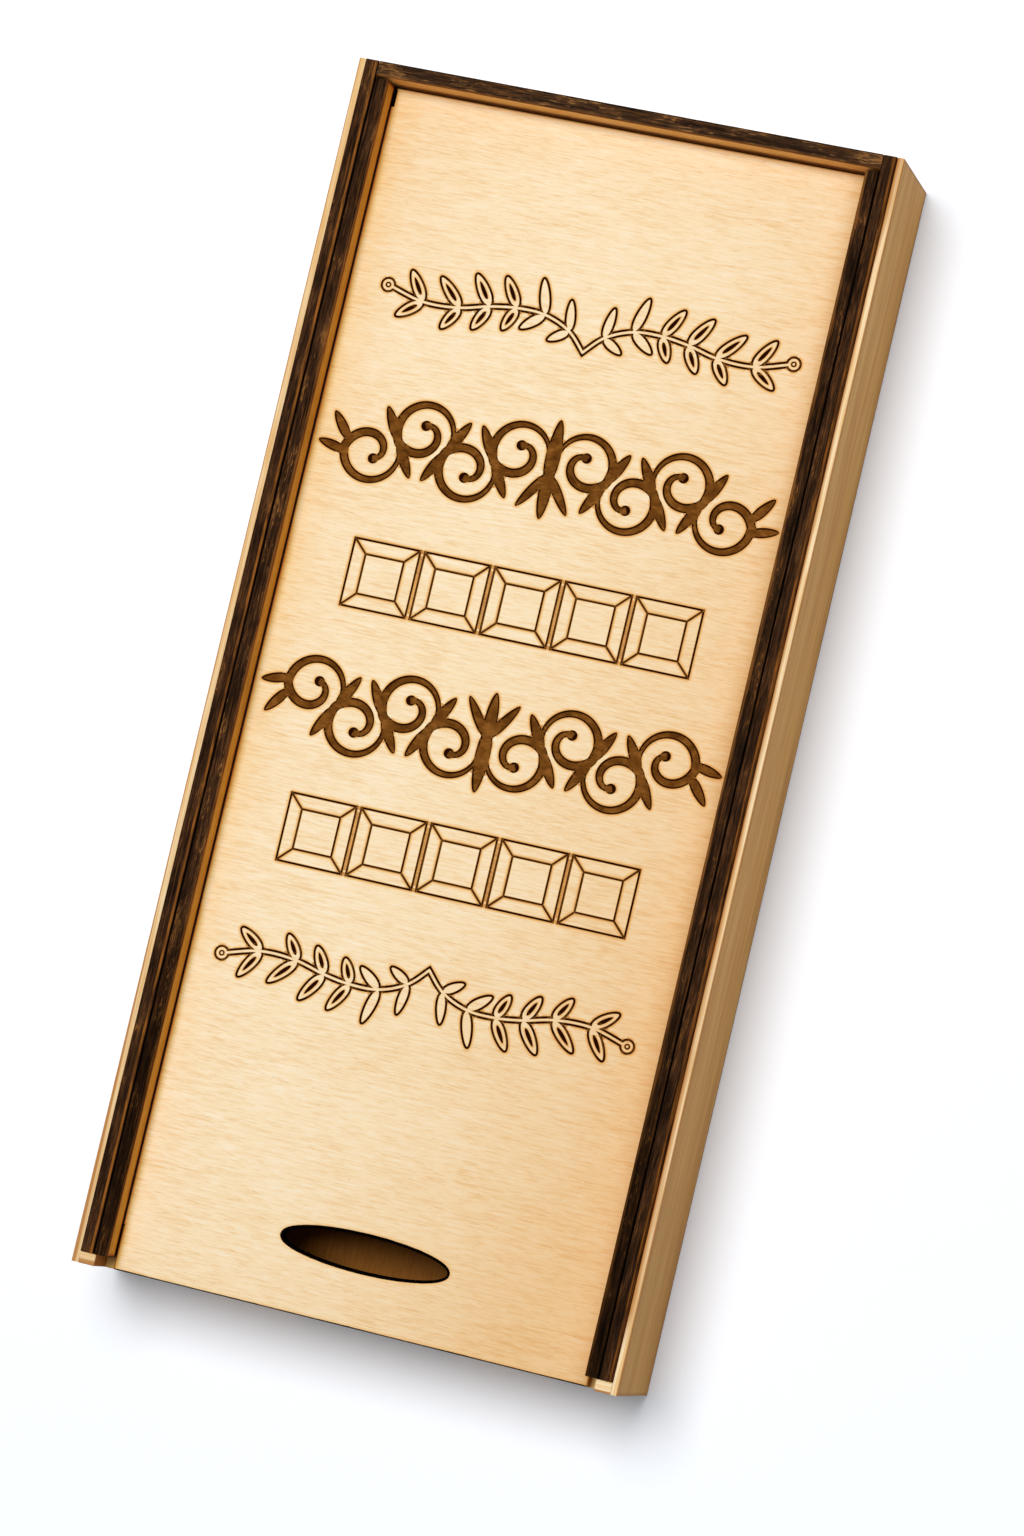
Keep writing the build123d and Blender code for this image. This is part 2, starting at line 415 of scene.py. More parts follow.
# %% Charred edges of the boards
brown_line, rust_line = "#7c4d24", "#9a5c22"
dark_tones = ("#0c0704", "#1c110a", "#2c1b10", "#412816", "#6a4522")
rail_tones = ("#130b06", "#25170d", "#3a2414", "#54361e", "#80552c")
wall_tones = ("#170e08", "#2c1b10", "#452b19", "#634024", "#916036")
back_tones = ("#1c120b", "#342216", "#4d3420", "#69482a", "#94683c")
# Flecks: share, length and width in millimetres, colour
none = (0.0, 1.6, 0.2, "#94622f")
few = (0.22, 1.7, 0.28, "#8c5826")
some = (0.36, 1.6, 0.3, "#94622f")
speckled = (0.52, 2.2, 0.32, "#9c6a3a")
# Bands: from and to through the board in millimetres, colour; black bands at the seams between boards and
# the
# # right wall's dark outer band are painted shade in the grooves there and beside the pale panels
left_wall_bands = ((0.35, 0.85, rust_line), (-0.3, 0.24, char_and_shade_black), (2.86, 3.3, char_and_shade_black))
right_wall_bands = ((-0.3, 0.08, char_and_shade_black), (2.2, 2.55, "#8e531e"), (2.8, 3.3, "#2a1206"))
left_rail_bands = ((-0.3, 0.3, brown_line), (2.76, 3.3, char_and_shade_black))
right_rail_bands = ((-0.3, 0.55, brown_line), (2.62, 3.3, char_and_shade_black))
back_bands = ((-0.3, 0.3, brown_line), (2.95, 3.5, char_and_shade_black))
soot_bands = ((-0.3, 3.3, char_and_shade_black),)
# Burns: tones, rust at the two arrises, bands, flecks, board thickness in millimetres, black at the front
edge_burns = {
    "charred_left_wall_edge": (wall_tones, (0.3, -0.3), left_wall_bands, few, 3.0, 0.0),
    "charred_right_wall_edge": (wall_tones, (0.1, 0.5), right_wall_bands, few, 3.0, 0.3),
    "charred_left_rail_edge": (wall_tones, (0.5, 0.1), left_rail_bands, some, 3.0, 0.75),
    "charred_right_rail_edge": (rail_tones, (0.6, 0.3), right_rail_bands, few, 3.0, 0.75),
    "charred_back_edge": (back_tones, (0.1, 0.3), back_bands, speckled, 3.2, 0.0),
    "charred_plywood_edge": (wall_tones, (0.2, 0.2), (), few, 3.0, 0.0),
    "sooty_plywood_edge": (dark_tones, (-0.4, -0.4), soot_bands, none, 3.0, 0.0),
    "charred_lid_edge": (dark_tones, (-0.4, -0.4), soot_bands, none, 3.0, 0.0),
}
edges = {name: charred_edge(name, *burn) for name, burn in edge_burns.items()}
tongue_side_mm = (52.0, 52.2)
tongue_back_mm = (-121.4, -121.7)
lid_back_painted_light_mm = (126.6, 126.8)


def tongue_scorch_and_back_light(material):
    """Browns the sides of the lid's front tongue and paints its back edge tan, as painted light in the gap
    behind the lid.
    """
    tree, shader, char = colour_so_far(material)
    x, y, _ = on_the_box(tree)
    side = add(tree, "Math", {0: x}, operation="ABSOLUTE").outputs[0]
    near, far = tongue_side_mm
    flank = add(tree, "MapRange", {"Value": side, "From Min": near * MM, "From Max": far * MM}).outputs[0]
    char = stained(tree, char, "#a86a24", (y, *(place * MM for place in tongue_back_mm), flank))
    # Painted light: the back edge is tan, to light the gap behind the lid.
    char = stained(tree, char, "#e0b070", (y, *(place * MM for place in lid_back_painted_light_mm)))
    tree.links.new(char, shader.inputs["Base Color"])


tongue_scorch_and_back_light(edges["charred_lid_edge"])
print("edge finishes:", *edges)

# %% [markdown]
# The outer panels and the front are a planed pale wood with straight grain, uncharred. Their faces are a
# warm tan with a few brown lines, and rubbed brown along the arrises.


# %% Planed pale wood
def planed_face(name):
    """Planed pale wood: straight grain with a few brown lines, a warm tan, darker towards the front."""
    material, shader, tree = new_material(name)
    bands = streaks(tree, 75, 5, detail=3, distortion=0.9, shift=2.3)
    fibres = streaks(tree, 24, 0.8, detail=3, distortion=0.5, shift=6.1)
    fine = streaks(tree, 8, 0.25, detail=2, shift=8.8)
    tone = weighted(tree, [(bands, 0.5), (fibres, 0.32), (fine, 0.18)])
    stops = [(0.36, "#c2853b"), (0.5, "#d19747"), (0.64, "#deab5e")]
    wood = add(tree, "ValToRGB", {0: tone}, stops=stops).outputs[0]
    lines = streaks(tree, 36, 1.2, detail=2, distortion=0.9, shift=12.6)
    wood = stained(tree, wood, "#a26a2c", (lines, 0.58, 0.72, 0.36))
    wood = stained(tree, wood, "#f0ebe2", (on_the_box(tree)[1], -0.03, -0.1), "MULTIPLY")
    arris = add(tree, "Attribute", attribute_name="scorch").outputs["Fac"]
    arris = add(tree, "Math", {0: arris, 1: 2.0}, operation="POWER").outputs[0]
    wood = stained(tree, wood, "#8c5722", weighted(tree, [(arris, 0.75)]))
    finished(tree, shader, wood, fibres, 0.25, 0.06, roughness=0.6, specular=0.12)
    return material


pale_face = planed_face("planed_pale_wood_face")
print("pale wood:", pale_face.name)

# %% [markdown]
# The narrow top edges of the pale boards are cream, tanner on the left and stained orange beside the
# charred wall on the right. A brown line runs along the outer arris, wide at the front left. The front
# wall's ears are scorched on the sides that face the lid, and the lowered middle between them is tan.

# %% Edges of the pale wood
level_blur_mm = 0.15
ear_and_middle_mm = ((31.4, "#a5621c"), (23.1, "#f0bc6c"))


def planed_edge(name, board_mm, line_mm, levels=()):
    """The edge of planed wood: cream, tan on the left, orange by the right-hand charred wall, more so
    towards both ends but not at the front itself, brown along the outer arris and wider at the front left,
    and one colour below each level."""
    material, shader, tree = new_material(name)
    fibres = streaks(tree, 14, 0.4, detail=3, distortion=0.4, shift=4.4)
    patches = streaks(tree, 16, 30, detail=4, shift=13.0)
    stops = [(0.35, "#ecc183"), (0.52, "#f7d6a4"), (0.66, "#fbe4ba")]
    wood = add(tree, "ValToRGB", {0: fibres}, stops=stops).outputs[0]
    x, y, z = on_the_box(tree)
    depth = through_the_board(tree)
    left = add(tree, "MapRange", {"Value": x, "From Min": 0.05, "From Max": -0.05}).outputs[0]
    right = add(tree, "Math", {0: 1.0, 1: left}, operation="SUBTRACT").outputs[0]
    stretches = {
        "back_left": (0.03, 0.13, left),
        "forward": (0.13, -0.13, 1.0),
        "back_end": (0.108, 0.122, 1.0),
        "behind_front": (-0.122, -0.114, right),
        "front_left": (-0.05, -0.12, left),
    }
    at = {}
    for stretch, (start, end, most) in stretches.items():
        growth = {"Value": y, "From Min": start, "From Max": end, "To Max": most}
        at[stretch] = add(tree, "MapRange", growth).outputs[0]
    wood = stained(tree, wood, "#f4ebdf", left, "MULTIPLY")
    wood = stained(tree, wood, "#e0ab60", weighted(tree, [(at["back_left"], 0.3)]))
    reach = weighted(tree, [(patches, 0.9), (at["forward"], 1.1), (at["back_end"], 1.3), (-0.1, 1.0)])
    wood = stained(tree, wood, "#bd8526", (depth, reach, 0.0, at["behind_front"]), "MULTIPLY")
    full = weighted(tree, [(board_mm - line_mm, 1.0), (at["forward"], -0.1), (at["front_left"], -0.4)])
    start = weighted(tree, [(full, 1.0), (-0.12, 1.0), (at["front_left"], -0.3)])
    wood = stained(tree, wood, "#b0702c", (depth, start, full, 0.85))
    for level_mm, colour in levels:
        wood = stained(tree, wood, colour, (z, level_mm * MM, (level_mm - level_blur_mm) * MM))
    finished(tree, shader, wood, fibres, 0.3, 0.06, roughness=0.62, specular=0.12)
    return material


pale_edge = planed_edge("planed_panel_edge", 1.5, 0.15)
mouth_edge = planed_edge("planed_front_edge", 2.5, 0.3, ear_and_middle_mm)
print("pale edges:", pale_edge.name, mouth_edge.name)

# %% [markdown]
# Engraving burns a shallow channel. Its floor is dark brown with the grain still showing, and darkest
# along its rim, where the attribute called scorch is 1.


# %% Engraved channel
def engraved_wood(name):
    """Laser-burnt birch: mottled along the grain, nearly black where the scorch attribute marks the rim."""
    material, shader, tree = new_material(name)
    mottle = streaks(tree, 3.2, 2.2, detail=4, distortion=0.6, shift=3.3)
    fine = streaks(tree, 1.2, 0.3, detail=2, shift=8.1)
    tone = weighted(tree, [(mottle, 0.7), (fine, 0.3)])
    stops = [(0.34, "#512d0d"), (0.5, "#714316"), (0.66, "#8f5a24")]
    burnt = add(tree, "ValToRGB", {0: tone}, stops=stops).outputs[0]
    rim = add(tree, "Attribute", attribute_name="scorch").outputs["Fac"]
    burnt = stained(tree, burnt, "#260a01", (rim, 0.1, 0.45))
    finished(tree, shader, burnt, tone, 0.4, 0.06, roughness=0.9, specular=0.01)
    return material


engraved = engraved_wood("engraved_birch")
print("engraving finish:", engraved.name)

# %% [markdown]
# ## Reading a board's outline
# A modeller could type each outline again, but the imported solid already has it: the flat face on the high
# side of the board's thin direction. Its triangles are picked out, and the edges that only one triangle
# has are the outline. Lengths are in millimetres until a mesh is made.

# %% Outline of a board
outline_digits = 3
sharpest_mitre = 0.4


def borders(corners, count):
    """The edges that only one of the triangles has, as their starts and ends among count points."""
    start, end = corners.ravel(), np.roll(corners, -1, axis=1).ravel()
    single = ~np.isin(start * count + end, end * count + start)
    return start[single], end[single]


def outline_of(node):
    """Closed loops round the high face of a board, wood on the left, its thin axis and its two levels."""
    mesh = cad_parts[node].data
    mesh.calc_loop_triangles()
    place = np.empty(len(mesh.vertices) * 3)
    mesh.vertices.foreach_get("co", place)
    corners = np.empty(len(mesh.loop_triangles) * 3, int)
    mesh.loop_triangles.foreach_get("vertices", corners)
    place = np.round(place.reshape(-1, 3) / MM, outline_digits)
    place, same = np.unique(place, axis=0, return_inverse=True)
    corners = same.reshape(-1)[corners].reshape(-1, 3)
    thin = int(np.argmin(np.ptp(place, axis=0)))
    low, high = place[:, thin].min(), place[:, thin].max()
    face = corners[(place[corners, thin] == high).all(axis=1)]
    start, end = borders(face, len(place))
    following = dict(zip(start.tolist(), end.tolist()))
    loops = []
    while following:
        first, step = following.popitem()
        chain = [first]
        while step != first:
            chain.append(step)
            step = following.pop(step)
        loops.append(place[chain][:, [(thin + 1) % 3, (thin + 2) % 3]])
    return loops, thin, low, high


def signed_area(loop):
    """Half the sum of cross products round a loop: positive when it runs anticlockwise."""
    x, y = loop.T
    return 0.5 * (x * np.roll(y, -1) - np.roll(x, -1) * y).sum()


def resampled(loop, spacing):
    """Even steps of at most spacing along each side of a loop, corners kept."""
    side = np.roll(loop, -1, axis=0) - loop
    count = np.maximum(np.ceil(np.linalg.norm(side, axis=1) / spacing).astype(int), 1)
    which = np.repeat(np.arange(len(loop)), count)
    step = np.arange(len(which)) - np.repeat(np.cumsum(count) - count, count)
    return loop[which] + side[which] * (step / count[which])[:, None]


def outward(loop):
    """Mitred normals on the right of a loop: the two side normals added, over 1 plus their dot product."""
    side = np.roll(loop, -1, axis=0) - loop
    side = side / np.linalg.norm(side, axis=1)[:, None]
    after = np.stack([side[:, 1], -side[:, 0]], axis=1)
    before = np.roll(after, 1, axis=0)
    return (after + before) / np.maximum(1 + (after * before).sum(axis=1), sharpest_mitre)[:, None]


def grown(loop, distance):
    """The loop moved out along its normals."""
    return loop + distance * outward(loop)


loops, thin, low, high = outline_of("lid")
print("lid outline:", [len(loop) for loop in loops], "points, thin axis", "XYZ"[thin])

# %% [markdown]
# ## Building a board
# The cut edge is a profile carried round the outline: a rounded arris, the wall with a fine groove at
# each glue line, and the other arris. A bevel modifier could round the arrises, but a profile can carry
# the glue lines and the scorch too. Each part of a board is arrays of points, triangles and grain
# coordinates.

# %% Cut edge
face_finish, edge_finish, engraved_finish = 0, 1, 2
arris_steps = 4
arris_scorch = (1.0, 0.6)
wall_start_radii = 1.9
groove_radii = 0.2


def edge_profile(thickness, radius, plies):
    """Rows of (inset, level, scorch) through the thickness: quarter rounds at both arrises, and grooves
    a fifth of the radius deep at the glue lines of equal plies."""
    turn = np.linspace(0, np.pi / 2, arris_steps)
    inset, level = radius * (1 - np.sin(turn)), radius * (1 - np.cos(turn))
    low_round = np.stack([inset, level, np.linspace(*arris_scorch, arris_steps)], axis=1)
    wall_start = wall_start_radii * radius
    rows = [low_round, [[0, wall_start, 0]]]
    groove = groove_radii * radius
    for glue in np.arange(1, plies) * thickness / plies:
        rows.append([[0, glue - groove, 0], [groove, glue, 0], [0, glue + groove, 0]])
    rows.append([[0, thickness - wall_start, 0]])
    rows.append((low_round * [1, -1, 1] + [0, thickness, 0])[::-1])
    return np.concatenate(rows)


def ripple(distance, seed, waves=7, shortest=3.0, longest=60.0):
    """A gentle wander between -1 and 1 along an edge: sines of random lengths and phases, averaged."""
    draw = np.random.default_rng(seed)
    lengths = np.exp(draw.uniform(np.log(shortest), np.log(longest), waves))
    phases = draw.uniform(0, 2 * np.pi, waves)
    return np.sin(2 * np.pi * distance[:, None] / lengths + phases).mean(axis=1)


def edge_wall(loop, profile, wear):
    """The profile carried round a loop: a grid of rows by points, moved in by inset times wear."""
    rows, points = len(profile), len(loop)
    side = np.linalg.norm(np.roll(loop, -1, axis=0) - loop, axis=1)
    run = np.r_[0, np.cumsum(side)]
    inset = profile[:, :1] * wear[None, :]
    flat = loop[None] - inset[..., None] * outward(loop)[None]
    level = np.repeat(profile[:, 1:2], points, axis=1)
    place = np.concatenate([flat, level[..., None]], axis=2).reshape(-1, 3)
    row, point = np.meshgrid(np.arange(rows - 1), np.arange(points), indexing="ij")
    a = row * points + point
    b = row * points + (point + 1) % points
    quad = np.stack([a, b, b + points, a + points], axis=-1).reshape(-1, 4)
    along = np.stack([run[point], run[point + 1], run[point + 1], run[point]], axis=-1)
    depth = np.stack([profile[row, 1], profile[row, 1], profile[row + 1, 1], profile[row + 1, 1]], axis=-1)
    grain = np.stack([along, depth], axis=-1).reshape(-1, 4, 2)
    split = [0, 1, 2, 0, 2, 3]
    return {
        "place": place,
        "triangles": quad[:, split].reshape(-1, 3),
        "grain": grain[:, split].reshape(-1, 3, 2),
        "scorch": np.repeat(profile[:, 2], points),
        "smooth": True,
        "finish": edge_finish,
    }, flat[0], flat[-1]


print("rows in the edge of a 3 mm board of 3 plies:", len(edge_profile(3.0, 0.25, 3)))

# %% [markdown]
# The two faces are filled by constrained triangulation, with a second loop just inside the rim so that the
# scorch can fade. A plain fill would give no points there to fade between. The triangulation also says
# which loops hold each triangle, and so what is wood and what is a hole.

# %% Flat faces
snap_mm = 1e-5


def anticlockwise(loop):
    """The loop, turned round if it runs clockwise."""
    return loop if signed_area(loop) > 0 else loop[::-1]


def triangulated(loops):
    """Constrained triangles over closed loops, with which loops hold each triangle and which points of the
    loops lie at each point."""
    points = np.concatenate([anticlockwise(loop) for loop in loops])
    start = np.cumsum([0] + [len(loop) for loop in loops])
    faces = [list(range(a, b)) for a, b in zip(start[:-1], start[1:])]
    found = geometry.delaunay_2d_cdt([Vector(point) for point in points], [], faces, 0, snap_mm)
    place, _, corners, sources, _, owners = found
    place, corners = np.array([tuple(point) for point in place]), np.array(corners)
    held = np.zeros((len(corners), len(loops)), bool)
    triangle = np.repeat(np.arange(len(owners)), [len(holders) for holders in owners])
    held[triangle, np.concatenate(owners).astype(int)] = True
    a, b, c = (place[corners[:, k]] for k in range(3))
    turned = (b[:, 0] - a[:, 0]) * (c[:, 1] - a[:, 1]) < (b[:, 1] - a[:, 1]) * (c[:, 0] - a[:, 0])
    corners[turned] = corners[turned][:, ::-1]
    return place, corners, held, sources


def within(rims, held, sources):
    """Which triangles are inside an outer rim and in no hole, and which points lie on a rim, when the rims
    are the first loops."""
    outer = np.array([signed_area(rim) > 0 for rim in rims])
    inside = held[:, : len(rims)]
    wood = inside[:, outer].any(axis=1) & ~inside[:, ~outer].any(axis=1)
    rim_points = sum(len(rim) for rim in rims)
    return wood, np.array([bool(ids) and min(ids) < rim_points for ids in sources])


def board_face(rims, fade_mm, level, grain_first, upward):
    """A flat face inside its rims, scorch 1 on the rim and 0 a little way in."""
    place, corners, held, sources = triangulated(rims + [grown(rim, -fade_mm) for rim in rims])
    wood, on_rim = within(rims, held, sources)
    corners = corners[wood]
    grain = place[corners]
    return {
        "place": np.c_[place, np.full(len(place), level)],
        "triangles": corners if upward else corners[:, ::-1],
        "grain": (grain if upward else grain[:, ::-1])[..., :: 1 if grain_first else -1],
        "scorch": on_rim.astype(float),
        "smooth": False,
        "finish": face_finish,
    }


print("points of a face closer than", snap_mm, "mm become one")

# %% [markdown]
# One function puts the parts of a board into a mesh, in metres, and welds their seams. It counts the edges
# that don't have two faces, because a board is a solid and should have none.

# %% Parts into a mesh
weld_mm = 0.001
crease_angle = np.radians(55)


def make_piece(name, parts, thin, low, shift, finishes):
    """Joins parts into one welded mesh in metres; the board's own axes go back to X, Y and Z. The shift
    moves the grain, so that no two boards show the same wood, but not the depth on a cut edge."""
    for part in parts:
        used, corners = np.unique(part["triangles"], return_inverse=True)
        part["triangles"] = corners.reshape(-1, 3)
        part.update({key: part[key][used] for key in ("place", "scorch")})
    sizes = np.cumsum([0] + [len(part["place"]) for part in parts])
    flat = np.concatenate([part["place"] for part in parts])
    place = np.empty_like(flat)
    place[:, (thin + 1) % 3] = flat[:, 0]
    place[:, (thin + 2) % 3] = flat[:, 1]
    place[:, thin] = flat[:, 2] + low
    triangles = np.concatenate([part["triangles"] + base for part, base in zip(parts, sizes)])
    mesh = bpy.data.meshes.new(name)
    mesh.from_pydata(place * MM, [], triangles)
    scorch = mesh.attributes.new("scorch", "FLOAT", "POINT")
    scorch.data.foreach_set("value", np.concatenate([part["scorch"] for part in parts]))
    shifts = [[shift, shift * (part["finish"] != edge_finish)] for part in parts]
    grain = np.concatenate([part["grain"] + moved for part, moved in zip(parts, shifts)])
    mesh.uv_layers.new(name="grain").data.foreach_set("uv", grain.ravel() * MM)
    counts = [len(part["triangles"]) for part in parts]
    mesh.polygons.foreach_set("material_index", np.repeat([part["finish"] for part in parts], counts))
    mesh.polygons.foreach_set("use_smooth", np.repeat([part["smooth"] for part in parts], counts))
    for finish in finishes:
        mesh.materials.append(finish)
    work = bmesh.new()
    work.from_mesh(mesh)
    bmesh.ops.remove_doubles(work, verts=work.verts, dist=weld_mm * MM)
    open_edges = sum(not edge.is_manifold for edge in work.edges)
    work.to_mesh(mesh)
    work.free()
    mesh.set_sharp_from_angle(angle=crease_angle)
    piece = bpy.data.objects.new(name, mesh)
    bpy.context.scene.collection.objects.link(piece)
    print(f"{name}: {len(mesh.polygons)} triangles, {open_edges} open edges")
    return piece


print("points closer than", weld_mm, "mm are welded")

# %% [markdown]
# ## The fixed boards
# Each board needs its finishes, its grain direction and how sharp and how even its edges are. Laser-cut
# boards have small arrises, three plies and a slightly wandering edge. Planed boards are softer and plain.
# The depth on an edge counts from the side nearer the middle of the box, so the right-hand boards and the
# left-hand boards are measured from opposite faces.

# %% Boards
char_radius = 0.25
pale_radius = 0.15
edge_spacing = 1.6
face_fade = 0.9
ply_count = 3
char_wander = 0.08
plain_wander = 0.05
edge_wear = 0.45
wear_seed_step = 50
grain_step = 370.0

# Boards: grain axis, finish of the faces, finish of the edge
charred = edges["charred_plywood_edge"]
sooty = edges["sooty_plywood_edge"]
charred_boards = {
    # The back wall takes the lighter veneer of painted light.
    "back_wall": ("X", back_birch_with_painted_light, edges["charred_back_edge"]),
    "left_side_wall": ("Y", smoked_birch, edges["charred_left_wall_edge"]),
    "right_side_wall": ("Y", smoked_birch, edges["charred_right_wall_edge"]),
    "left_upper_rail": ("Y", smoked_birch, edges["charred_left_rail_edge"]),
    "right_upper_rail": ("Y", smoked_birch, edges["charred_right_rail_edge"]),
    "left_lower_runner": ("Y", smoked_birch, charred),
    "right_lower_runner": ("Y", smoked_birch, charred),
    "left_stop_block": ("Y", sooty_birch, sooty),
    "right_stop_block": ("Y", sooty_birch, sooty),
}
pale_boards = {
    "left_outer_panel": ("Y", pale_face, pale_edge),
    "right_outer_panel": ("Y", pale_face, pale_edge),
    "front_wall": ("X", pale_face, mouth_edge),
}


def board(node, grain_axis, radius, plies, wander, finishes, seed):
    """The two faces and the cut edge of one board, riding on the box."""
    loops, thin, low, high = outline_of(node)
    parts, low_rims, high_rims = [], [], []
    from_low = abs(low) <= abs(high)
    for loop in loops:
        loop = resampled(loop, edge_spacing)
        run = np.arange(len(loop)) * edge_spacing
        loop = grown(loop, -wander * (1 + ripple(run, seed)[:, None]) / 2)
        wear = 1 + edge_wear * ripple(run, seed + wear_seed_step, shortest=4.0, longest=25.0)
        wall, low_rim, high_rim = edge_wall(loop, edge_profile(high - low, radius, plies), wear)
        if not from_low:
            wall["grain"][..., 1] = high - low - wall["grain"][..., 1]
        parts.append(wall)
        low_rims.append(low_rim)
        high_rims.append(high_rim)
    grain_first = (thin + 1) % 3 == "XYZ".index(grain_axis)
    parts.append(board_face(high_rims, face_fade, high - low, grain_first, True))
    parts.append(board_face(low_rims, face_fade, 0.0, grain_first, False))
    piece = make_piece(node + "_wood", parts, thin, low, grain_step * seed, finishes)
    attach(piece, "box")
    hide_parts(node)
    return piece


for seed, (node, (grain_axis, *finishes)) in enumerate(charred_boards.items(), start=1):
    piece = board(node, grain_axis, char_radius, ply_count, char_wander, finishes, seed)
for seed, (node, (grain_axis, *finishes)) in enumerate(pale_boards.items(), start=20):
    piece = board(node, grain_axis, pale_radius, plies=1, wander=plain_wander, finishes=finishes, seed=seed)
# The base carries the darker veneer of painted shade.
base = board("base_panel", "Y", char_radius, ply_count, plain_wander, [base_birch_with_painted_shade, charred], seed=30)

# %% [markdown]
# ## The ornament on the lid
# Two leaf sprigs are engraved in outline, with rows of dark scrolls and outlined chocolate pieces between
# them. Every shape is a closed loop from a formula. An outline is the band between the loop grown and
# shrunk by half a line, and shapes that belong together share one group, so their outline runs round all
# of them. A filled shape has nothing shrunk out of it.

# %% Shapes of the ornament
line_half = 0.24

# Leaf pairs: base on the stem, reach of the upper and of the lower leaf, width, whether they have slits
sprig_leaf_pairs = (
    ((3.8, -2.4), (1.0, 6.8), (4.4, -2.7), 2.1, False),
    ((9.7, 0.1), (2.0, 7.7), (4.9, -3.9), 2.3, False),
    ((16.0, 0.4), (3.8, 6.3), (2.3, -5.3), 2.6, True),
    ((21.9, -0.4), (4.4, 6.4), (2.9, -5.6), 2.7, True),
    ((28.2, -1.9), (5.6, 5.8), (3.3, -5.2), 2.6, True),
    ((36.4, -2.2), (4.0, 6.3), (5.4, -4.0), 2.6, True),
)
sprig_foot = (-0.33, -6.53)
stem_half = 0.52
slit_shares = (0.22, 0.76)
slit_width = 0.84
sprig_ring = (44.8, 0.0)
ring_radius = 1.45
eye_radius = 0.62
eye_line = 0.3


def ribbon(path, half):
    """Outline of a stroke: the path moved to each side by its half width."""
    along = np.gradient(path, axis=0)
    along /= np.linalg.norm(along, axis=1)[:, None]
    side = np.stack([-along[:, 1], along[:, 0]], axis=1) * half[:, None]
    return anticlockwise(np.concatenate([path - side, (path + side)[::-1]]))


def leaf(base, tip, width, points=40):
    """A leaf: an ellipse from base to tip, its half width times 1.18 less 0.36 of the way along."""
    turn = np.arange(points) * 2 * np.pi / points
    along = (1 - np.cos(turn)) / 2
    axis = np.subtract(tip, base)
    side = np.array([-axis[1], axis[0]]) / np.linalg.norm(axis)
    across = width / 2 * np.sin(turn) * (1.18 - 0.36 * along)
    return anticlockwise(base + along[:, None] * axis + across[:, None] * side)


def toward(angle):
    """Unit steps at angles: their cosines and sines."""
    return np.stack([np.cos(angle), np.sin(angle)], axis=-1)


def disc(centre, radius, points=28):
    """A circle of points."""
    return centre + radius * toward(np.arange(points) * 2 * np.pi / points)


def smooth_path(points, count):
    """Cubic Hermite curve through points, its slopes from their neighbours, at even chord lengths."""
    points = np.array(points, float)
    chord = np.r_[0, np.cumsum(np.linalg.norm(np.diff(points, axis=0), axis=1))]
    slope = np.gradient(points, chord, axis=0)
    at = np.linspace(0, chord[-1], count)
    i = np.clip(np.searchsorted(chord, at, "right") - 1, 0, len(chord) - 2)
    span = (chord[i + 1] - chord[i])[:, None]
    u = (at - chord[i])[:, None] / span
    ends = (2 * u**3 - 3 * u**2 + 1) * points[i] + (3 * u**2 - 2 * u**3) * points[i + 1]
    return ends + span * ((u**3 - 2 * u**2 + u) * slope[i] + (u**3 - u**2) * slope[i + 1])


def both_ways(loop):
    """A loop and its mirror image."""
    return [loop, anticlockwise(loop * [-1, 1])]


def sprig():
    """Outlined shapes and filled slits of a sprig about its foot."""
    stem = smooth_path([sprig_foot] + [pair[0] for pair in sprig_leaf_pairs] + [sprig_ring], count=90)
    outlined, slits = both_ways(ribbon(stem, np.full(len(stem), stem_half))), []
    for base, upper, lower, width, slit in sprig_leaf_pairs:
        for reach in np.array([upper, lower]):
            outlined += both_ways(leaf(np.array(base), base + reach, width))
            if slit:
                ends = [base + share * reach for share in slit_shares]
                slits += both_ways(leaf(*ends, slit_width, points=24))
    outlined += both_ways(disc(sprig_ring, ring_radius))
    return outlined, slits


sprig_outlined, sprig_slits = sprig()
print("sprig:", len(sprig_outlined), "outlined shapes,", len(sprig_slits), "slits")

# %% [markdown]
# A scroll row is a run of touching circles, high and low by turns. The stroke follows one circle over its
# arch to where the next one touches, then winds in as an exponential spiral to a round end. A leaf stands
# in each wedge between two circles, and the two halves meet in a spray of leaves.

# %% Scroll rows and chocolate pieces
scroll_radius = 6.1
scroll_rise = 3.0
scroll_count = 4
scroll_gap = 0.9
scroll_lead = 0.22
scroll_decay = 0.31
scroll_end_radius = 1.6
scroll_half_widths = (0.42, 1.02)
scroll_ball_radius = 1.12
scroll_points = 160
row_start, row_end = np.array([-1.0, 0.05]), np.array([1.0, 0.0])

# Leaves: base, tip, width
wedge_leaf = (0.2, 8.2, 2.4)
spray_leaves = (
    ((0.0, -2.4), (0.0, 11.5), 3.2),
    ((0.0, 0.5), (0.0, -10.0), 2.8),
    ((0.3, -0.4), (5.6, -8.2), 2.2),
)
end_leaves = (((5.5, 1.5), (9.8, 7.0), 2.3), ((5.8, -1.0), (12.0, 0.4), 2.2))

piece_size = 14.6
piece_top_size = 8.6
piece_pitch = 15.6
piece_count = 5
piece_line_half = 0.22


def scroll(centre, start, sign, arch):
    """An arch of one radius, then radius times exp(-decay times angle). The stroke swells from thin to
    thick and back by the sine of pi times 0.03 + 0.9 of its run, to the 1.2. The lead hides its start
    inside the stroke before."""
    total = arch + np.log(scroll_radius / scroll_end_radius) / scroll_decay
    turn = np.linspace(-scroll_lead, total, scroll_points)
    radius = scroll_radius * np.exp(-scroll_decay * np.maximum(turn - arch, 0))
    path = centre + radius[:, None] * toward(start + sign * turn)
    thin, thick = scroll_half_widths
    half = thin + (thick - thin) * np.sin(np.pi * np.clip(0.03 + 0.9 * turn / total, 0, 1)) ** 1.2
    return [ribbon(path, half), disc(path[-1], scroll_ball_radius)]


